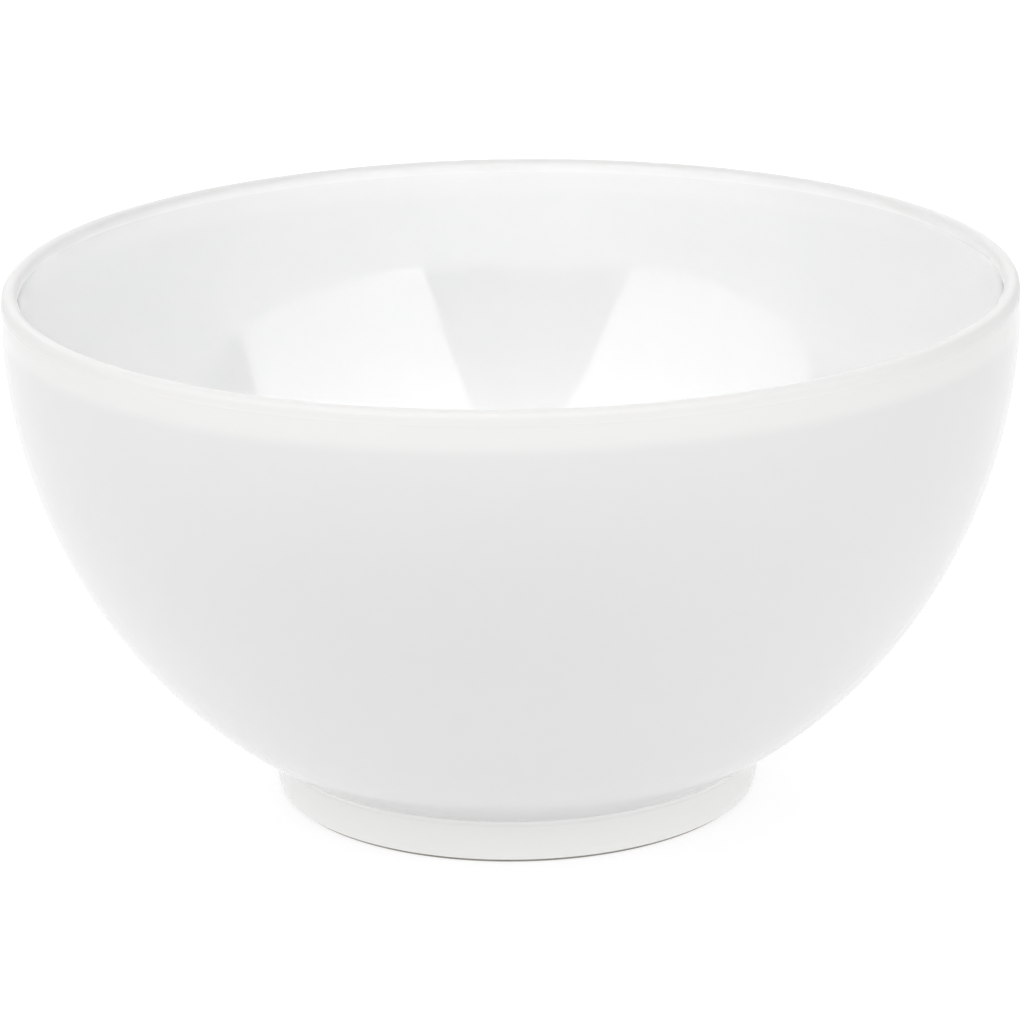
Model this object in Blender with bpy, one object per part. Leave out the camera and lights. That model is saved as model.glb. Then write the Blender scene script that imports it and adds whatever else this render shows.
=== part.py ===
"""Shaving bowl: a thin porcelain body luted onto a low porcelain foot ring.

Metres, +Z up. The origin is the centre of the circle that the foot stands on.
Both pieces are turned about Z, so each one is half an outline and a Screw modifier.
"""

from math import radians, sin, tan

import bpy
import numpy as np

# Body: the outside
WIDEST_RADIUS = 0.0600
WIDEST_HEIGHT = 0.0588
RIM_HEIGHT = 0.0635
BELLY_DEPTH = 0.0610        # from the widest height down to where the full curve would end
BELLY_POWER_R = 2.13        # powers of the superellipse that the belly follows
BELLY_POWER_Z = 1.89
RIM_LEAN = radians(8)       # how far the wall leans in where it meets the lip

# Body: its wall, its inside floor and the flat underside within the foot ring
LIP_WALL = 0.0019
LOW_WALL = 0.0040
WALL_GROWTH = 1.5           # power by which the wall thickens with the distance below the lip
UNDERSIDE_HEIGHT = 0.0045
UNDERSIDE_BLEND = 0.0012
FLOOR_HEIGHT = UNDERSIDE_HEIGHT + LOW_WALL
FLOOR_BLEND = 0.0060

# Foot ring
FOOT_RADIUS = 0.0293
FOOT_TUCK = 0.0006          # the outside draws in by this much towards the table
FOOT_TUCK_HEIGHT = 0.0027
FOOT_INNER_RADIUS = 0.0252
FOOT_DRAFT = 0.0005         # the inside opens by this much towards the table
FOOT_EDGE = 0.0004          # rounding of the two edges that meet the table
LUTE_GAP = 0.0003           # the slip joint between ring and body

# How finely the outlines are stepped
TURN_STEPS = 72
BELLY_POINTS = 18
INSIDE_POINTS = 16
WALL_POINTS = 3
LIP_POINTS = 5              # on each side of the lip's highest point
LUTE_POINTS = 5
EDGE_POINTS = 4

# Where the wall ends and the rolled lip begins
LIP_RADIUS = LIP_WALL / 2
LIP_START = RIM_HEIGHT - LIP_RADIUS * (1 - sin(RIM_LEAN))
RIM_CURVE = tan(RIM_LEAN) / (2 * (LIP_START - WIDEST_HEIGHT))


def belly_outline(angles):
    """Radius and height on the belly's superellipse: angle 0 is the widest circle, pi/2 the axis."""
    radius = WIDEST_RADIUS * np.cos(angles) ** (2 / BELLY_POWER_R)
    height = WIDEST_HEIGHT - BELLY_DEPTH * np.sin(angles) ** (2 / BELLY_POWER_Z)
    return np.column_stack([radius, height])


def rim_outline(heights):
    """Radius and height above the widest circle, where the wall leans in as a parabola."""
    radius = WIDEST_RADIUS - RIM_CURVE * (heights - WIDEST_HEIGHT) ** 2
    return np.column_stack([radius, heights])


def outward_normals(points):
    """Unit normals of the outside, from the gradients of the superellipse and the parabola."""
    radius, height = points.T
    below = np.clip(WIDEST_HEIGHT - height, 0, None) / BELLY_DEPTH
    above = np.clip(height - WIDEST_HEIGHT, 0, None)
    across = BELLY_POWER_R / WIDEST_RADIUS * (radius / WIDEST_RADIUS) ** (BELLY_POWER_R - 1)
    across = np.where(above > 0, 1.0, across)
    down = BELLY_POWER_Z / BELLY_DEPTH * below ** (BELLY_POWER_Z - 1)
    up = 2 * RIM_CURVE * above - down
    return np.column_stack([across, up]) / np.hypot(across, up)[:, None]


def wall_thickness(height):
    """Thin at the lip, thicker by a power of the distance below it."""
    drop = (LIP_START - height) / LIP_START
    return LIP_WALL + (LOW_WALL - LIP_WALL) * drop ** WALL_GROWTH


def raised(height, level, blend):
    """The higher of a curve and a level, rounded where they cross."""
    overlap = np.clip(blend - np.abs(height - level), 0, None)
    return np.maximum(height, level) + overlap ** 2 / (4 * blend)


def angle_at(height):
    """The belly angle at which the superellipse is at a height."""
    return np.arcsin(((WIDEST_HEIGHT - height) / BELLY_DEPTH) ** (BELLY_POWER_Z / 2))


def outside(points_on_belly=BELLY_POINTS):
    """The outside from the lip down to the flat underside, without the point on the axis."""
    rim = rim_outline(np.linspace(LIP_START, WIDEST_HEIGHT, WALL_POINTS + 1)[:-1])
    flat_from = angle_at(UNDERSIDE_HEIGHT - UNDERSIDE_BLEND)
    belly = belly_outline(np.linspace(0, flat_from, points_on_belly))
    return np.vstack([rim, belly])


def inside():
    """The inside from its flat floor up to the lip: the outside, moved in by the wall."""
    rim = rim_outline(np.linspace(LIP_START, WIDEST_HEIGHT, WALL_POINTS + 1)[:-1])
    flat_from = angle_at(FLOOR_HEIGHT - FLOOR_BLEND - LOW_WALL)
    belly = belly_outline(np.linspace(0, flat_from, INSIDE_POINTS))
    skin = np.vstack([rim, belly])
    wall = skin - outward_normals(skin) * wall_thickness(skin[:, 1])[:, None]
    wall[:, 1] = raised(wall[:, 1], FLOOR_HEIGHT, FLOOR_BLEND)
    return wall[::-1]


def lip():
    """Half a circle over the rim, from the inside of the wall to its outside, through its top."""
    tip = rim_outline(np.array([LIP_START]))
    centre = tip - outward_normals(tip) * LIP_RADIUS
    rise = np.linspace(np.pi + RIM_LEAN, np.pi / 2, LIP_POINTS)[1:]
    fall = np.linspace(np.pi / 2, RIM_LEAN, LIP_POINTS)[1:-1]
    turn = np.concatenate([rise, fall])
    return centre + LIP_RADIUS * np.column_stack([np.cos(turn), np.sin(turn)])


def bowl_outline():
    """From the middle of the floor, up the inside, over the lip and down the outside."""
    skin = outside()
    skin[:, 1] = raised(skin[:, 1], UNDERSIDE_HEIGHT, UNDERSIDE_BLEND)
    return np.vstack([[0, FLOOR_HEIGHT], inside(), lip(), skin, [0, UNDERSIDE_HEIGHT]])


def ring_edge(centre_radius, start, end):
    """A quarter circle at the table edge of the ring, about a centre that is one edge radius up."""
    turn = np.linspace(start, end, EDGE_POINTS)
    return np.column_stack([centre_radius + FOOT_EDGE * np.cos(turn), FOOT_EDGE + FOOT_EDGE * np.sin(turn)])


def ring_outline():
    """Across the lute from inside to outside, down the tucked outside, and up the drafted inside."""
    skin = outside(points_on_belly=BELLY_POINTS * 4)
    skin[:, 1] = raised(skin[:, 1], UNDERSIDE_HEIGHT, UNDERSIDE_BLEND)
    joint = (skin + outward_normals(skin) * LUTE_GAP)[::-1]
    radius = np.linspace(FOOT_INNER_RADIUS, FOOT_RADIUS, LUTE_POINTS)
    top = np.column_stack([radius, np.interp(radius, joint[:, 0], joint[:, 1])])

    height = np.linspace(FOOT_TUCK_HEIGHT, FOOT_EDGE, EDGE_POINTS)[:-1]
    tuck = FOOT_TUCK * (1 - height / FOOT_TUCK_HEIGHT) ** 3
    outer = np.column_stack([FOOT_RADIUS - tuck, height])

    outer_edge = ring_edge(FOOT_RADIUS - FOOT_TUCK - FOOT_EDGE, 0, -np.pi / 2)
    inner_edge = ring_edge(FOOT_INNER_RADIUS + FOOT_DRAFT + FOOT_EDGE, -np.pi / 2, -np.pi)
    return np.vstack([top, outer, outer_edge, inner_edge])


def porcelain(name, colour, roughness):
    """Glazed white porcelain."""
    material = bpy.data.materials.new(name)
    material.use_nodes = True
    shader = material.node_tree.nodes["Principled BSDF"]
    shader.inputs["Base Color"].default_value = colour
    shader.inputs["Roughness"].default_value = roughness
    shader.inputs["Metallic"].default_value = 0.0
    shader.inputs["IOR"].default_value = 1.5
    return material


def turned(name, outline, closed, material, parent):
    """One piece turned about Z from half an outline at +X."""
    count = len(outline)
    corners = np.column_stack([outline[:, 0], np.zeros(count), outline[:, 1]])
    edges = [(i, i + 1) for i in range(count - 1)]
    if closed:
        edges.append((count - 1, 0))
    mesh = bpy.data.meshes.new(name)
    mesh.from_pydata(corners.tolist(), edges, [])
    mesh.materials.append(material)

    piece = bpy.data.objects.new(name, mesh)
    bpy.context.collection.objects.link(piece)
    piece.parent = parent
    screw = piece.modifiers.new("turn", "SCREW")
    screw.axis = "Z"
    screw.steps = TURN_STEPS
    screw.render_steps = TURN_STEPS
    screw.use_merge_vertices = True
    screw.merge_threshold = 0.00001
    screw.use_smooth_shade = True
    return piece


def main():
    for old in list(bpy.data.objects):
        bpy.data.objects.remove(old)

    centre = bpy.data.objects.new("foot_centre", None)
    bpy.context.collection.objects.link(centre)
    glaze = porcelain("white_glaze", (0.86, 0.86, 0.85, 1), 0.08)
    foot_glaze = porcelain("foot_glaze", (0.84, 0.84, 0.82, 1), 0.12)
    turned("bowl", bowl_outline(), False, glaze, centre)
    turned("foot_ring", ring_outline(), True, foot_glaze, centre)


main()
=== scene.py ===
"""Shaving bowl in glazed porcelain: its fine surfaces, its glaze and bare clay, and a light table.

Every length is in metres. The bowl is a body of revolution about Z, so each piece is an outline, worked out
with numpy and carried round the axis on a grid of turn angle by place along the outline.
"""

from math import atan, cos, pi, radians, sin, tan

import bpy
import numpy as np
from bpy.props import FloatProperty, FloatVectorProperty, IntProperty, PointerProperty
from bpy.types import Operator, Panel, PropertyGroup
from mathutils import Matrix, Vector


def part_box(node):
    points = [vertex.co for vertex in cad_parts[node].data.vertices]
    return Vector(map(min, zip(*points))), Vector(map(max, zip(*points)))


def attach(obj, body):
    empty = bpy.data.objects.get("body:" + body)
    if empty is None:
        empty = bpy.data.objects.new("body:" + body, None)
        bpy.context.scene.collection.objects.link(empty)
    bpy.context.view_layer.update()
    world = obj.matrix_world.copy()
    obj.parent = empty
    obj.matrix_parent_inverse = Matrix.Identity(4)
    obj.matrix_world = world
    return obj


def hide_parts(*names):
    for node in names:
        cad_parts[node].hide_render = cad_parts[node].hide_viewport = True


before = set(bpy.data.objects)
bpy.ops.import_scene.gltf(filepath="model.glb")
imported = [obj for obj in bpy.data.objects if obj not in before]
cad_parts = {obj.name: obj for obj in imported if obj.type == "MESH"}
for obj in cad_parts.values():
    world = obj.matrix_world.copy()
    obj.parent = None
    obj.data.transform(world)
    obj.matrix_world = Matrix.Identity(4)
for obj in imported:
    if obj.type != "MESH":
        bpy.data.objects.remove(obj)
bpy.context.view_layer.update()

bl_info = {
    "name": "Shaving Bowl",
    "version": (1, 0, 0),
    "blender": (4, 5, 0),
    "location": "3D View > Sidebar > Shaving Bowl",
    "description": "Builds a glazed porcelain shaving bowl on its foot ring, on a light table",
    "category": "Object",
}

BOWL_LOW, BOWL_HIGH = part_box("bowl")
RING_LOW, RING_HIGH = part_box("foot_ring")
MM = 0.001

# points along the outline: over the lip, above the widest circle, and down the belly outside and inside
LIP_POINTS = 29
RIM_POINTS = 14
OUTSIDE_POINTS = 110
INSIDE_POINTS = 100
# points of the outside when its height is looked up, and when the fillet's point of touch is searched
LOOKUP_POINTS = 600
TOUCH_POINTS = 2000
# the belly stops this angle short of the axis, where its slope has no bound
AXIS_GAP = 0.01
# share of the depth, waves in one turn, phase, and drift of the phase along the outline
WAVES = (
    (0.40, 3, 0.7, 2.1),
    (0.30, 5, -1.1, 3.7),
    (0.20, 9, 2.3, -7.9),
    (0.10, 16, 0.4, 13.0),
)


def linear(hex_colour):
    """Linear RGB from an sRGB hex value, such as "F2F1EE"."""
    srgb = [int(hex_colour[i:i + 2], 16) / 255 for i in (0, 2, 4)]
    return [c / 12.92 if c <= 0.04045 else ((c + 0.055) / 1.055) ** 2.4 for c in srgb]


def rgba(colour):
    """A colour property as the four numbers that a colour socket takes."""
    return (*colour, 1.0)


# ---------------------------------------------------------------- settings


class BodySettings(PropertyGroup):
    """Sizes of the porcelain body."""

    widest_radius: FloatProperty(
        name="Widest radius", description="Radius of the widest circle, just below the rim",
        default=BOWL_HIGH.x, unit="LENGTH")
    widest_height: FloatProperty(
        name="Widest height", description="Height of the widest circle above the table",
        default=58.8 * MM, unit="LENGTH")
    rim_height: FloatProperty(
        name="Rim height", description="Height of the lip's top above the table",
        default=BOWL_HIGH.z, unit="LENGTH")
    belly_depth: FloatProperty(
        name="Belly depth", description="Drop from the widest circle to the end of the full belly curve",
        default=61.0 * MM, unit="LENGTH")
    belly_power_r: FloatProperty(
        name="Belly fullness across", description="Power of the belly's superellipse on the radius",
        default=2.13)
    belly_power_z: FloatProperty(
        name="Belly fullness down", description="Power of the belly's superellipse on the depth",
        default=1.89)
    rim_lean: FloatProperty(
        name="Rim lean", description="How far the wall leans inwards where it meets the lip",
        default=radians(8), subtype="ANGLE")
    lip_wall: FloatProperty(
        name="Lip wall", description="Thickness of the wall at the lip",
        default=1.9 * MM, unit="LENGTH")
    low_wall: FloatProperty(
        name="Low wall", description="Thickness of the wall and floor at the bottom",
        default=4.0 * MM, unit="LENGTH")
    wall_growth: FloatProperty(
        name="Wall growth", description="Power by which the wall thickens with the distance below the lip",
        default=1.5)
    underside_height: FloatProperty(
        name="Underside height", description="Height of the flat underside above the table",
        default=BOWL_LOW.z, unit="LENGTH")
    underside_blend: FloatProperty(
        name="Underside blend", description="Rounding where the belly turns into the flat underside",
        default=1.2 * MM, unit="LENGTH")
    floor_blend: FloatProperty(
        name="Floor blend", description="Rounding where the inside wall turns into the flat floor",
        default=6.0 * MM, unit="LENGTH")
    wander: FloatProperty(
        name="Surface wander", description="Depth of the slow waves that throwing and glazing leave",
        default=0.03 * MM, unit="LENGTH")
    turn_steps: IntProperty(
        name="Turn steps", description="Steps round the axis",
        default=320)


class FootSettings(PropertyGroup):
    """Sizes of the foot ring, its lute and its bare standing edge."""

    radius: FloatProperty(
        name="Foot radius", description="Outer radius of the foot ring",
        default=RING_HIGH.x, unit="LENGTH")
    inner_radius: FloatProperty(
        name="Foot inner radius", description="Inner radius of the foot ring at the underside",
        default=25.2 * MM, unit="LENGTH")
    tuck: FloatProperty(
        name="Foot tuck", description="How far the outside draws in at the table",
        default=0.6 * MM, unit="LENGTH")
    tuck_height: FloatProperty(
        name="Tuck height", description="Height over which the outside draws in",
        default=2.7 * MM, unit="LENGTH")
    draft: FloatProperty(
        name="Inside draft", description="How far the inside opens towards the table",
        default=0.5 * MM, unit="LENGTH")
    fillet: FloatProperty(
        name="Lute fillet", description="Radius of the glaze that fills the corner between body and foot",
        default=0.9 * MM, unit="LENGTH")
    bare_height: FloatProperty(
        name="Bare height", description="Height of the unglazed edge that the bowl stands on",
        default=0.45 * MM, unit="LENGTH")
    glaze_depth: FloatProperty(
        name="Glaze depth", description="Thickness of the glaze, which the bare edge is set back by",
        default=0.22 * MM, unit="LENGTH")


class FinishSettings(PropertyGroup):
    """Colours and gloss of the porcelain."""

    glaze_white: FloatVectorProperty(
        name="Glaze white", description="The fired glaze over white porcelain",
        default=linear("D3D3D2"), subtype="COLOR", min=0, max=1)
    glaze_cloud: FloatVectorProperty(
        name="Glaze cloud", description="The slightly greyer white where the glaze lies thicker",
        default=linear("D1D2D2"), subtype="COLOR", min=0, max=1)
    # painted highlight: a whiter band round the rim for the light that the rim catches, fuller outside
    painted_rim_highlight: FloatVectorProperty(
        name="Thin glaze", description="The whiter band round the rim, where the glaze runs thin",
        default=linear("D8D8D7"), subtype="COLOR", min=0, max=1)
    # painted shade: a greyer white low on the belly, just above the foot, where shade falls
    painted_low_shade: FloatVectorProperty(
        name="Pooled glaze", description="The greyer white of glaze pooled low on the body",
        default=linear("C7C8C8"), subtype="COLOR", min=0, max=1)
    # where the painted rim highlight begins and is full below the rim's top, and how much of it shows inside
    highlight_start: FloatProperty(
        name="Thin start", description="Distance below the rim's top at which the whiter band begins",
        default=5.2 * MM, unit="LENGTH")
    highlight_full: FloatProperty(
        name="Thin full", description="Distance below the rim's top at which the whiter band is full",
        default=3.6 * MM, unit="LENGTH")
    highlight_inside: FloatProperty(
        name="Thin inside", description="Share of the whiter band that shows on the inside of the wall",
        default=0.25, min=0, max=1)
    # heights between which the painted low shade fades in above the foot
    low_shade_start: FloatProperty(
        name="Pool start", description="Height below which the glaze begins to pool",
        default=11.5 * MM, unit="LENGTH")
    low_shade_full: FloatProperty(
        name="Pool full", description="Height below which the pooled glaze is full",
        default=5 * MM, unit="LENGTH")
    # painted contact shadow: both clay colours are darker than bare porcelain, so the edge reads as a dark
    # line
    bare_clay_and_shadow: FloatVectorProperty(
        name="Bare clay", description="Unglazed porcelain on the standing edge",
        default=linear("8C8880"), subtype="COLOR", min=0, max=1)
    clay_stain_and_shadow: FloatVectorProperty(
        name="Stained clay", description="Where bare clay has taken up a little grey from tables",
        default=linear("6F6B63"), subtype="COLOR", min=0, max=1)
    # painted light: whiter than the body's own glaze, for the light that the foot ring's face catches
    painted_lit_foot_white: FloatVectorProperty(
        name="Foot white", description="The thinner, whiter glaze on the foot ring",
        default=linear("E6E6E4"), subtype="COLOR", min=0, max=1)
    glaze_roughness: FloatProperty(
        name="Glaze roughness", description="Roughness of the glaze",
        default=0.045, min=0, max=1)
    lip_roughness: FloatProperty(
        name="Lip roughness", description="Roughness of the thin, satin glaze on the lip",
        default=0.5, min=0, max=1)
    satin_start: FloatProperty(
        name="Satin start", description="Distance below the rim's top at which the satin lip begins",
        default=2.4 * MM, unit="LENGTH")
    satin_full: FloatProperty(
        name="Satin full", description="Distance below the rim's top at which the lip is fully satin",
        default=0.8 * MM, unit="LENGTH")
    lip_sheen: FloatProperty(
        name="Lip sheen", description="Specular level of the satin lip, where 0.5 is the glaze's own",
        default=0.15, min=0, max=1)
    glaze_index: FloatProperty(
        name="Glaze index", description="Refractive index of the glaze, high for an opacified white",
        default=1.65, min=1, max=3)


class StudioSettings(PropertyGroup):
    """Camera, light table and lights."""

    camera_distance: FloatProperty(
        name="Camera distance", description="From the camera to the middle of the bowl's axis",
        default=521.2 * MM, unit="LENGTH")
    camera_elevation: FloatProperty(
        name="Camera elevation", description="Height of the camera above the horizon",
        default=radians(17.904), subtype="ANGLE")
    camera_roll: FloatProperty(
        name="Camera roll", description="How far the camera is turned about its own line of sight",
        default=radians(0.873), subtype="ANGLE")
    field_of_view: FloatProperty(
        name="Field of view", description="Angle that the camera takes in",
        default=radians(13.47847), subtype="ANGLE")
    aim_height: FloatProperty(
        name="Aim height", description="Height of the point on the axis that the camera looks at",
        default=30 * MM, unit="LENGTH")
    shift_x: FloatProperty(
        name="Shift across", description="Sideways shift of the lens, as a share of the picture",
        default=-0.00222)
    shift_y: FloatProperty(
        name="Shift up", description="Upward shift of the lens, as a share of the picture",
        default=0.02822)
    box_strength: FloatProperty(
        name="Soft box strength", description="Radiance of the two soft boxes in front", default=1.75)
    back_strength: FloatProperty(
        name="Back panel strength", description="Radiance of the wide panel behind", default=2.4)
    high_strength: FloatProperty(
        name="High panel strength", description="Radiance of the panel high in front", default=4.2)
    beam_strength: FloatProperty(
        name="Beam strength", description="Irradiance over pi that the beam puts on the bowl's floor",
        default=6.8)
    beam_height: FloatProperty(
        name="Beam height", description="Height of the narrow beam's lamp above the table",
        default=1.0, unit="LENGTH")
    beam_reach: FloatProperty(
        name="Beam reach", description="Radius that the narrow beam lights at the table",
        default=40 * MM, unit="LENGTH")
    room_strength: FloatProperty(
        name="Room strength", description="Brightness of the dim room above the table", default=0.05)
    table_white: FloatVectorProperty(
        name="Table white", description="The white acrylic of the light table",
        default=linear("A0A0A0"), subtype="COLOR", min=0, max=1)
    table_glow: FloatProperty(
        name="Table glow", description="Light that comes up through the table", default=0.72)
    table_flat: FloatProperty(
        name="Table flat", description="Radius at which the table starts to turn up",
        default=2.6, unit="LENGTH")
    table_sweep: FloatProperty(
        name="Table sweep", description="Radius of the quarter circle that turns the table up",
        default=0.4, unit="LENGTH")
    table_top: FloatProperty(
        name="Table top", description="Height at which the turned-up edge ends",
        default=0.45, unit="LENGTH")


# ---------------------------------------------------------------- outlines


def belly_outline(body, angles):
    """Radius and height on a superellipse: angle 0 is the widest circle, pi/2 is the axis."""
    radius = body.widest_radius * np.cos(angles) ** (2 / body.belly_power_r)
    height = body.widest_height - body.belly_depth * np.sin(angles) ** (2 / body.belly_power_z)
    return np.column_stack([radius, height])


def lip_start(body):
    """Height at which the wall hands over to the rolled lip."""
    return body.rim_height - body.lip_wall / 2 * (1 - sin(body.rim_lean))


def rim_curve(body):
    """The parabola's coefficient that gives the wall its lean at the lip."""
    return tan(body.rim_lean) / (2 * (lip_start(body) - body.widest_height))


def rim_outline(body, heights):
    """Radius and height above the widest circle: radius falls with the square of the height."""
    radius = body.widest_radius - rim_curve(body) * (heights - body.widest_height) ** 2
    return np.column_stack([radius, heights])


def outward(body, points):
    """Unit normals of the outside, from the gradients of the superellipse and of the parabola."""
    radius, height = points.T
    below = np.clip(body.widest_height - height, 0, None) / body.belly_depth
    above = np.clip(height - body.widest_height, 0, None)
    fullness = body.belly_power_r / body.widest_radius
    across = fullness * (radius / body.widest_radius) ** (body.belly_power_r - 1)
    across = np.where(above > 0, 1.0, across)
    down = body.belly_power_z / body.belly_depth * below ** (body.belly_power_z - 1)
    up = 2 * rim_curve(body) * above - down
    return np.column_stack([across, up]) / np.hypot(across, up)[:, None]


def wall(body, height):
    """Wall thickness: the lip's, growing by a power of the distance below the lip."""
    drop = (lip_start(body) - height) / lip_start(body)
    return body.lip_wall + (body.low_wall - body.lip_wall) * drop ** body.wall_growth


def raised(height, level, blend):
    """The higher of a curve and a level, rounded by a parabola where they cross."""
    overlap = np.clip(blend - np.abs(height - level), 0, None)
    return np.maximum(height, level) + overlap ** 2 / (4 * blend)


def skin(body, belly_points):
    """The full outside from the lip down to just short of the axis."""
    rim = rim_outline(body, np.linspace(lip_start(body), body.widest_height, RIM_POINTS + 1)[:-1])
    belly = belly_outline(body, np.linspace(0, pi / 2 - AXIS_GAP, belly_points))
    return np.vstack([rim, belly])


def outside(body, belly_points=OUTSIDE_POINTS):
    """The outside, with the flat underside where the full curve would go lower."""
    points = skin(body, belly_points)
    points[:, 1] = raised(points[:, 1], body.underside_height, body.underside_blend)
    return points


def floor_height(body):
    """Height of the flat inside floor."""
    return body.underside_height + body.low_wall


def inside(body):
    """The inside from the floor up to the lip: the skin moved in by the wall, above a flat floor."""
    points = skin(body, INSIDE_POINTS)
    points = points - outward(body, points) * wall(body, points[:, 1])[:, None]
    points[:, 1] = raised(points[:, 1], floor_height(body), body.floor_blend)
    return points[::-1]


def arc(centre, radius, start, end, count):
    """Part of a circle in the outline's plane."""
    turn = np.linspace(start, end, count)
    return np.array(centre) + radius * np.column_stack([np.cos(turn), np.sin(turn)])


def lip(body):
    """Half a circle over the rim, from the inside of the wall to its outside."""
    tip = rim_outline(body, np.array([lip_start(body)]))
    centre = (tip - outward(body, tip) * body.lip_wall / 2)[0]
    return arc(centre, body.lip_wall / 2, pi + body.rim_lean, body.rim_lean, LIP_POINTS)[1:-1]


def body_outline(body):
    """From the middle of the floor, up the inside, over the lip, down the outside, to the axis again."""
    return np.vstack([
        [0, floor_height(body)], inside(body), lip(body), outside(body), [0, body.underside_height]])


def under_skin(body, gap):
    """Height of the body's outside, moved outwards by a gap, as a function of radius."""
    points = outside(body, belly_points=LOOKUP_POINTS)
    points = (points + outward(body, points) * gap)[::-1]
    return lambda radius: np.interp(radius, points[:, 0], points[:, 1])


def foot_outline(body, foot):
    """The glazed ring: across the lute, down the tucked outside to a rolled bead, up the drafted inside."""
    radius = np.linspace(foot.inner_radius, foot.radius, 12)
    top = np.column_stack([radius, under_skin(body, 0.05 * MM)(radius)])
    bead = 0.16 * MM
    low = foot.bare_height + bead
    height = np.linspace(top[-1, 1] - 0.1 * MM, low, 26)
    tuck = foot.tuck * (1 - np.clip(height / foot.tuck_height, 0, 1)) ** 3
    outer = np.column_stack([foot.radius - tuck, height])
    outer_bead = arc((outer[-1, 0] - bead, low), bead, 0, -pi / 2, 9)[1:]
    opened = foot.inner_radius + foot.draft
    inner_bead = arc((opened + bead, low), bead, -pi / 2, -pi, 9)
    height = np.linspace(low, top[0, 1] - 0.1 * MM, 14)[1:]
    share = (height - low) / (height[-1] - low)
    inner = np.column_stack([opened - foot.draft * share, height])
    return np.vstack([top, outer, outer_bead, inner_bead, inner])


def bare_outline(foot):
    """The unglazed standing edge: a flat ring with rounded corners, set back by the glaze."""
    edge = 0.2 * MM
    outer = foot.radius - foot.tuck - foot.glaze_depth
    inner = foot.inner_radius + foot.draft + foot.glaze_depth
    top = foot.bare_height + 0.3 * MM
    flat = np.linspace(outer - edge, inner + edge, 16)[1:-1]
    return np.vstack([
        [[inner, top], [outer, top]],
        arc((outer - edge, edge), edge, 0, -pi / 2, 8),
        np.column_stack([flat, np.zeros(len(flat))]),
        arc((inner + edge, edge), edge, -pi / 2, -pi, 8)])


def fillet_outline(body, foot):
    """The pooled glaze: an arc that touches the belly above and the ring's wall below."""
    reach = foot.fillet
    centre = (foot.radius + reach, float(under_skin(body, reach)(foot.radius + reach)))
    points = skin(body, TOUCH_POINTS)
    shifted = points + outward(body, points) * reach
    nearest = np.argmin(np.hypot(*(shifted - centre).T))
    normal = outward(body, points[nearest:nearest + 1])[0]
    touch_belly = np.arctan2(-normal[1], -normal[0])
    hollow = arc(centre, reach, touch_belly, pi, 18)
    sunk = 0.25 * MM
    above = hollow[0] - normal * sunk
    corner = np.array([foot.radius - sunk, above[1]])
    below = hollow[-1] - np.array([sunk, 0])
    return np.vstack([above, hollow, below, corner])


# ---------------------------------------------------------------- surfaces


def wander(angle, along, depth):
    """Slow waves at or under zero: depth (sum of share cos(turns angle + phase + drift along) - 1)."""
    waves = sum(
        share * np.cos(turns * angle + phase + drift * along) for share, turns, phase, drift in WAVES)
    return depth * (waves - 1)


def carry_round(outline, steps, closed, depth=0.0):
    """The outline turned about Z: x = r cos a, y = r sin a. Waves move it along its own normal.

    An open outline starts and ends on the axis, and each end is one vertex with a fan of triangles.
    """
    body = outline if closed else outline[1:-1]
    count = len(body)
    angle = np.linspace(0, 2 * pi, steps, endpoint=False)[:, None]
    ahead = np.roll(outline, -1, axis=0) - np.roll(outline, 1, axis=0)
    ahead = ahead if closed else ahead[1:-1]
    normal = np.column_stack([-ahead[:, 1], ahead[:, 0]]) / np.hypot(*ahead.T)[:, None]
    length = np.concatenate([[0], np.cumsum(np.hypot(*np.diff(body, axis=0).T))])
    fade = np.clip(body[:, 0] / body[:, 0].max() * 3, 0, 1)
    push = -wander(angle, length / length[-1] * 2 * pi, depth) * fade
    radius = body[:, 0] - normal[:, 0] * push
    height = body[:, 1] - normal[:, 1] * push
    points = np.stack([radius * np.cos(angle), radius * np.sin(angle), height], axis=-1).reshape(-1, 3)

    here = np.arange(steps)[:, None] * count
    there = np.roll(here, -1, axis=0)
    place = np.arange(count if closed else count - 1)
    after = (place + 1) % count
    quads = np.stack([here + place, here + after, there + after, there + place], axis=-1).reshape(-1, 4)
    faces = quads.tolist()
    if not closed:
        ends = np.array([[0, 0, outline[0, 1]], [0, 0, outline[-1, 1]]])
        first, last = len(points), len(points) + 1
        points = np.vstack([points, ends])
        around, onward = here[:, 0], there[:, 0]
        faces += np.column_stack([around, onward, np.full(steps, first)]).tolist()
        faces += np.column_stack([onward + count - 1, around + count - 1, np.full(steps, last)]).tolist()
    return points, faces


def surface(name, points, faces, material):
    """A smooth-shaded mesh object at the origin, with its place in its mesh."""
    mesh = bpy.data.meshes.new(name)
    mesh.from_pydata(points.tolist(), [], faces)
    mesh.materials.append(material)
    mesh.shade_smooth()
    mesh.update()
    piece = bpy.data.objects.new(name, mesh)
    bpy.context.scene.collection.objects.link(piece)
    return piece


# ---------------------------------------------------------------- materials


def add_node(tree, kind, settings=None, inputs=None):
    """Adds a node, sets its properties, and sets or links its inputs."""
    node = tree.nodes.new(kind)
    for key, value in (settings or {}).items():
        setattr(node, key, value)
    for key, value in (inputs or {}).items():
        if isinstance(value, bpy.types.NodeSocket):
            tree.links.new(value, node.inputs[key])
        else:
            node.inputs[key].default_value = value
    return node


def new_material(name):
    """A material with an empty tree but for its output."""
    material = bpy.data.materials.new(name)
    material.use_nodes = True
    material.node_tree.nodes.clear()
    return material, material.node_tree


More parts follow.
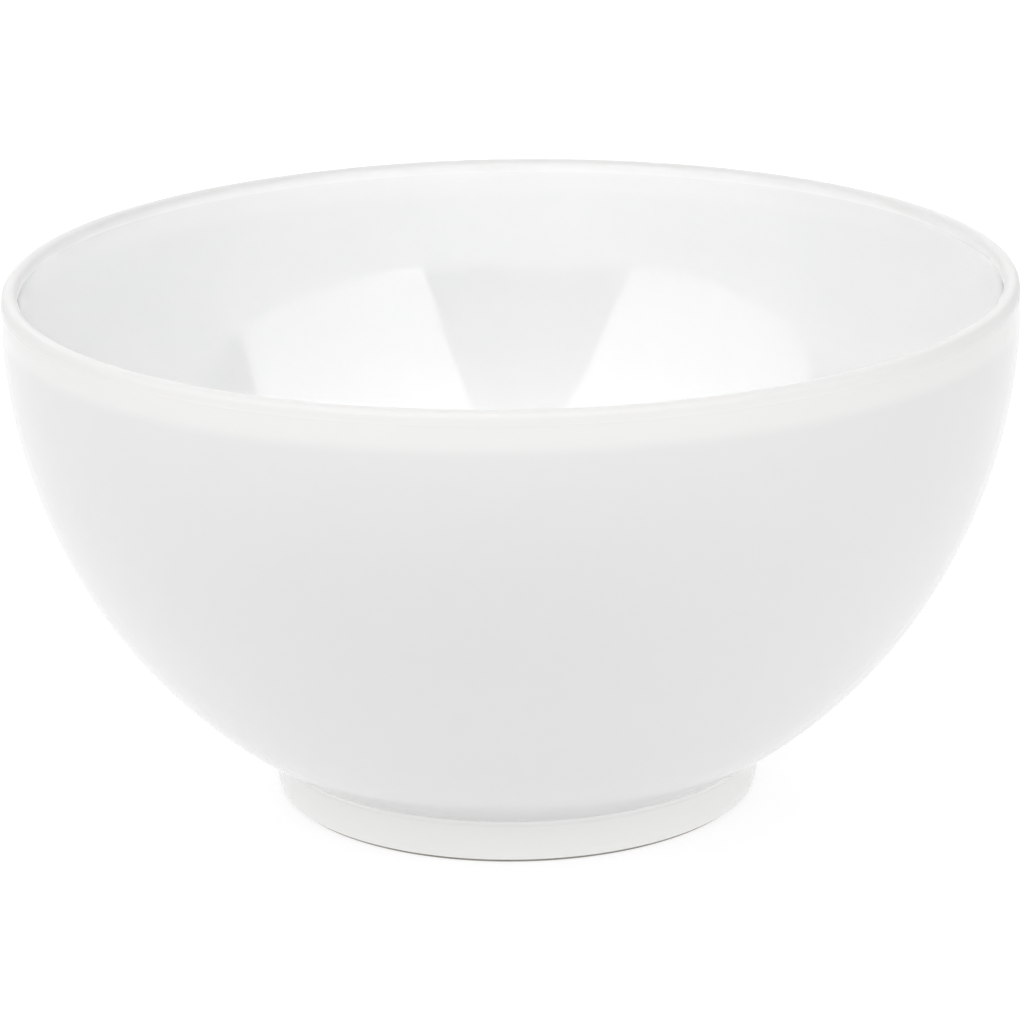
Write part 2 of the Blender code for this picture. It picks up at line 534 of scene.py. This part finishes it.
def glaze_gloss(tree, place, finish):
    """Roughness that varies by a few hundredths over patches 6 mm across."""
    patches = add_node(tree, "ShaderNodeTexNoise", inputs={
        "Vector": place, "Scale": 1 / (6 * MM), "Detail": 4.0, "Roughness": 0.6})
    return add_node(tree, "ShaderNodeMapRange", inputs={
        0: patches.outputs["Fac"], 1: 0.3, 2: 0.7,
        3: finish.glaze_roughness * 0.8, 4: finish.glaze_roughness * 1.4}).outputs[0]


def fire(tree, place, finish, colour, gloss, sheen):
    """Adds the glaze's shader, over white clay that lets a little light in.

    Orange peel, ripples 2.5 mm apart and a few micrometres deep, makes the reflections waver.
    """
    peel = add_node(tree, "ShaderNodeTexNoise", inputs={
        "Vector": place, "Scale": 1 / (2.5 * MM), "Detail": 1.0, "Roughness": 0.4})
    bump = add_node(tree, "ShaderNodeBump", inputs={
        "Height": peel.outputs["Fac"], "Strength": 1.0, "Distance": 0.004 * MM})
    shader = add_node(tree, "ShaderNodeBsdfPrincipled", {"subsurface_method": "RANDOM_WALK"}, {
        "Base Color": colour, "Roughness": gloss, "Normal": bump.outputs[0],
        "IOR": finish.glaze_index, "Specular IOR Level": sheen,
        "Subsurface Weight": 0.12, "Subsurface Radius": (1.0, 0.9, 0.8), "Subsurface Scale": 1.5 * MM})
    add_node(tree, "ShaderNodeOutputMaterial", inputs={"Surface": shader.outputs[0]})


def body_glaze(name, finish, rim_radius, rim_height):
    """Hard porcelain under a clear feldspar glaze, fired glossy.

    The clay gives an even, faintly translucent white. The glaze gives sharp reflections that waver a little,
    a cloudiness where it lies thicker and a satin lip. The whiter band round the rim is painted highlight,
    and the greyer white low on the body, just above the foot, is painted shade.
    """
    material, tree = new_material(name)
    place = add_node(tree, "ShaderNodeTexCoord").outputs["Object"]

    # clouds 18 mm across, in the glaze's thickness
    clouds = add_node(tree, "ShaderNodeTexNoise", inputs={
        "Vector": place, "Scale": 1 / (18 * MM), "Detail": 3.0, "Roughness": 0.5})
    colour = add_node(tree, "ShaderNodeMix", {"data_type": "RGBA"}, {
        0: clouds.outputs["Fac"], 6: rgba(finish.glaze_white), 7: rgba(finish.glaze_cloud)}).outputs[2]

    # painted highlight: the whiter rim band, full on the wall's outer face and weak on its inner face;
    # painted shade: the greyer white low on the body, on both faces
    around = add_node(tree, "ShaderNodeVectorMath", {"operation": "MULTIPLY"}, {
        0: place, 1: (1.0, 1.0, 0.0)}).outputs[0]
    radius = add_node(tree, "ShaderNodeVectorMath", {"operation": "LENGTH"}, {0: around}).outputs["Value"]
    highlight_outer_share = add_node(tree, "ShaderNodeMapRange", {"interpolation_type": "SMOOTHSTEP"}, {
        0: radius, 1: rim_radius - 1.7 * MM, 2: rim_radius - 0.7 * MM,
        3: finish.highlight_inside, 4: 1.0}).outputs[0]
    height = add_node(tree, "ShaderNodeSeparateXYZ", inputs={0: place}).outputs["Z"]
    painted_bands = (
        (rim_height - finish.highlight_start, rim_height - finish.highlight_full, highlight_outer_share, finish.painted_rim_highlight),
        (finish.low_shade_start, finish.low_shade_full, 1.0, finish.painted_low_shade))
    for start, full, most, other in painted_bands:
        share = add_node(tree, "ShaderNodeMapRange", {"interpolation_type": "SMOOTHSTEP"}, {
            0: height, 1: start, 2: full, 3: 0.0, 4: most}).outputs[0]
        colour = add_node(tree, "ShaderNodeMix", {"data_type": "RGBA"}, {
            0: share, 6: colour, 7: rgba(other)}).outputs[2]

    # from the glaze's own gloss and specular level to the lip's
    satin, sheen = (
        add_node(tree, "ShaderNodeMapRange", {"interpolation_type": "SMOOTHSTEP"}, {
            0: height, 1: rim_height - finish.satin_start, 2: rim_height - finish.satin_full,
            3: below, 4: at_lip}).outputs[0]
        for below, at_lip in ((0.0, finish.lip_roughness), (0.5, finish.lip_sheen)))
    gloss = add_node(tree, "ShaderNodeMath", {"operation": "MAXIMUM"}, {
        0: glaze_gloss(tree, place, finish), 1: satin}).outputs[0]
    fire(tree, place, finish, colour, gloss, sheen)
    return material


def foot_glaze(name, finish):
    """The same glaze on the foot ring and in the corner above it, painted whiter for the light the ring
    catches.
    """
    material, tree = new_material(name)
    place = add_node(tree, "ShaderNodeTexCoord").outputs["Object"]
    fire(tree, place, finish, rgba(finish.painted_lit_foot_white), glaze_gloss(tree, place, finish), 0.5)
    return material


def bare_porcelain(name, finish):
    """Unglazed porcelain, wiped clean before firing and polished on a table by use.

    A dry, fine-grained warm grey with darker stains, darkened as painted contact shadow into a thin dark
    line.
    """
    material, tree = new_material(name)
    place = add_node(tree, "ShaderNodeTexCoord").outputs["Object"]
    stains = add_node(tree, "ShaderNodeTexNoise", inputs={
        "Vector": place, "Scale": 1 / (4 * MM), "Detail": 5.0, "Roughness": 0.65})
    share = add_node(tree, "ShaderNodeMapRange", inputs={
        0: stains.outputs["Fac"], 1: 0.45, 2: 0.8, 3: 0.0, 4: 0.7}).outputs[0]
    colour = add_node(tree, "ShaderNodeMix", {"data_type": "RGBA"}, {
        0: share, 6: rgba(finish.bare_clay_and_shadow), 7: rgba(finish.clay_stain_and_shadow)}).outputs[2]
    # the grain of fired clay, 0.15 mm, a little coarser than life so that it shows
    grain = add_node(tree, "ShaderNodeTexNoise", inputs={
        "Vector": place, "Scale": 1 / (0.15 * MM), "Detail": 2.0, "Roughness": 0.6})
    bump = add_node(tree, "ShaderNodeBump", inputs={
        "Height": grain.outputs["Fac"], "Strength": 0.6, "Distance": 0.02 * MM})
    shader = add_node(tree, "ShaderNodeBsdfPrincipled", inputs={
        "Base Color": colour, "Roughness": 0.72, "Normal": bump.outputs[0], "IOR": 1.5})
    add_node(tree, "ShaderNodeOutputMaterial", inputs={"Surface": shader.outputs[0]})
    return material


def light_table(name, studio):
    """Matt white acrylic, lit evenly from below."""
    material, tree = new_material(name)
    shader = add_node(tree, "ShaderNodeBsdfPrincipled", inputs={
        "Base Color": rgba(studio.table_white), "Roughness": 0.9, "Specular IOR Level": 0.1,
        "Emission Color": (1, 1, 1, 1), "Emission Strength": studio.table_glow})
    add_node(tree, "ShaderNodeOutputMaterial", inputs={"Surface": shader.outputs[0]})
    return material


# ---------------------------------------------------------------- operators


class BOWL_OT_porcelain_body(Operator):
    """Turn the glazed body, with its rolled lip, inside floor and underside"""

    bl_idname = "bowl.porcelain_body"
    bl_label = "Porcelain Body"
    bl_options = {"REGISTER", "UNDO"}

    def execute(self, context):
        scene = context.scene
        body, finish = scene.bowl_body, scene.bowl_finish
        glaze = body_glaze("glazed_white_porcelain", finish, body.widest_radius, body.rim_height)
        points, faces = carry_round(body_outline(body), body.turn_steps, False, body.wander)
        piece = surface("porcelain_body", points, faces, glaze)
        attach(piece, "root")
        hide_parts("bowl")
        return {"FINISHED"}


class BOWL_OT_foot(Operator):
    """Turn the glazed foot ring, the pooled glaze over its lute and its bare standing edge"""

    bl_idname = "bowl.foot"
    bl_label = "Foot Ring"
    bl_options = {"REGISTER", "UNDO"}

    def execute(self, context):
        scene = context.scene
        body, foot, finish = scene.bowl_body, scene.bowl_foot, scene.bowl_finish
        glaze = foot_glaze("glazed_foot_porcelain", finish)
        bare = bare_porcelain("bare_porcelain", finish)
        parts = (
            ("foot_ring_glazed", foot_outline(body, foot), glaze, "foot_glaze"),
            ("lute_fillet", fillet_outline(body, foot), glaze, "foot_glaze"),
            ("bare_standing_edge", bare_outline(foot), bare, "bare_porcelain"),
        )
        for name, outline, material, slot in parts:
            points, faces = carry_round(outline, body.turn_steps, True)
            piece = surface(name, points, faces, material)
            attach(piece, "root")
            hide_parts("foot_ring")
        return {"FINISHED"}


def place_lamp(light, matrix):
    """Links a lamp that lights and is mirrored, but doesn't stand in the camera's way."""
    lamp = bpy.data.objects.new(light.name, light)
    lamp.matrix_world = matrix
    lamp.visible_camera = False
    bpy.context.scene.collection.objects.link(lamp)


def soft_box(name, width, height, centre, target, radiance):
    """A one-sided rectangle of even light, facing a point: power is radiance x pi x area."""
    light = bpy.data.lights.new(name, "AREA")
    light.shape = "RECTANGLE"
    light.size, light.size_y = width, height
    light.energy = radiance * pi * width * height
    facing = (target - centre).to_track_quat("-Z", "Y").to_matrix().to_4x4()
    place_lamp(light, Matrix.Translation(centre) @ facing)


def beam(name, height, reach, irradiance):
    """A narrow cone straight down: power is 4 pi x pi x irradiance x height squared."""
    light = bpy.data.lights.new(name, "SPOT")
    light.spot_size = 2 * atan(reach / height)
    light.spot_blend = 0.5
    light.shadow_soft_size = 20 * MM
    light.energy = 4 * pi * pi * irradiance * height ** 2
    place_lamp(light, Matrix.Translation(Vector((0, 0, height))))


def direction(azimuth, elevation):
    """Unit vector from the bowl: azimuth 0 is towards the camera, positive to its right."""
    return Vector((
        sin(azimuth) * cos(elevation), -cos(azimuth) * cos(elevation), sin(elevation)))


class BOWL_OT_studio(Operator):
    """Set up the light table, the soft lights and the camera"""

    bl_idname = "bowl.studio"
    bl_label = "Studio"
    bl_options = {"REGISTER", "UNDO"}

    def execute(self, context):
        scene = context.scene
        studio = scene.bowl_studio
        self.make_table(studio)
        self.make_lights(scene, studio)
        self.make_camera(scene, studio)
        return {"FINISHED"}

    def make_table(self, studio):
        """A wide round table that turns up into a low wall: flat, a quarter circle, then upright."""
        flat, sweep, top = studio.table_flat, studio.table_sweep, studio.table_top
        outline = np.vstack([
            [[0, 0]],
            np.column_stack([np.linspace(0.02, flat, 40), np.zeros(40)]),
            arc((flat, sweep), sweep, -pi / 2, 0, 24)[1:],
            [[flat + sweep, top], [0, top]]])
        steps = 96
        points, faces = carry_round(outline, steps, False)
        without_lid = faces[:-steps]
        acrylic = light_table("lit_white_acrylic", studio)
        surface("light_table", points, without_lid, acrylic)

    def make_lights(self, scene, studio):
        """Two soft boxes in front, a panel high in front, a wide panel behind, and a beam into the bowl."""
        middle = Vector((0, 0, 40 * MM))
        # name, width, height, azimuth and elevation in degrees, distance, radiance
        boxes = (
            ("right_box", 0.70, 0.80, 48, 30, 0.70, studio.box_strength),
            ("left_box", 0.78, 0.90, -58, 36, 0.70, studio.box_strength),
            ("high_panel", 0.75, 0.35, 0, 72, 1.00, studio.high_strength),
            ("back_panel", 1.80, 0.90, 180, 31, 1.30, studio.back_strength),
        )
        for name, width, height, azimuth, elevation, distance, radiance in boxes:
            centre = middle + direction(radians(azimuth), radians(elevation)) * distance
            soft_box(name, width, height, centre, middle, radiance)
        beam("beam", studio.beam_height, studio.beam_reach, studio.beam_strength)

        world = bpy.data.worlds.new("dim_room")
        world.use_nodes = True
        background = world.node_tree.nodes["Background"]
        background.inputs["Color"].default_value = (1, 1, 1, 1)
        background.inputs["Strength"].default_value = studio.room_strength
        scene.world = world

    def make_camera(self, scene, studio):
        """A long lens that looks at the middle of the bowl, a little rolled, with a small shift."""
        data = bpy.data.cameras.new("camera")
        data.angle = studio.field_of_view
        data.shift_x = studio.shift_x
        data.shift_y = studio.shift_y
        data.clip_start, data.clip_end = 0.01, 20
        camera = bpy.data.objects.new("camera", data)
        aim = Vector((0, 0, studio.aim_height))
        back = direction(0, studio.camera_elevation)
        facing = (-back).to_track_quat("-Z", "Y").to_matrix().to_4x4()
        place = Matrix.Translation(aim + back * studio.camera_distance)
        camera.matrix_world = place @ facing @ Matrix.Rotation(-studio.camera_roll, 4, "Z")
        scene.collection.objects.link(camera)
        scene.camera = camera
        scene.view_settings.view_transform = "Standard"


class BOWL_PT_panel(Panel):
    """Lists the bowl's settings and the operators that build it"""

    bl_idname = "BOWL_PT_panel"
    bl_label = "Shaving Bowl"
    bl_space_type = "VIEW_3D"
    bl_region_type = "UI"
    bl_category = "Shaving Bowl"

    def draw(self, context):
        layout = self.layout
        for group, operator in (
                ("bowl_body", BOWL_OT_porcelain_body),
                ("bowl_foot", BOWL_OT_foot),
                ("bowl_finish", None),
                ("bowl_studio", BOWL_OT_studio)):
            settings = getattr(context.scene, group)
            box = layout.box()
            for name in settings.__annotations__:
                box.prop(settings, name)
            if operator:
                box.operator(operator.bl_idname)


GROUPS = {
    "bowl_body": BodySettings,
    "bowl_foot": FootSettings,
    "bowl_finish": FinishSettings,
    "bowl_studio": StudioSettings,
}
CLASSES = (
    *GROUPS.values(),
    BOWL_OT_porcelain_body,
    BOWL_OT_foot,
    BOWL_OT_studio,
    BOWL_PT_panel,
)


def register():
    for cls in CLASSES:
        bpy.utils.register_class(cls)
    for name, group in GROUPS.items():
        setattr(bpy.types.Scene, name, PointerProperty(type=group))


def unregister():
    for name in GROUPS:
        delattr(bpy.types.Scene, name)
    for cls in reversed(CLASSES):
        bpy.utils.unregister_class(cls)


def main():
    register()
    bpy.ops.bowl.porcelain_body()
    bpy.ops.bowl.foot()
    bpy.ops.bowl.studio()


if __name__ == "__main__":
    main()
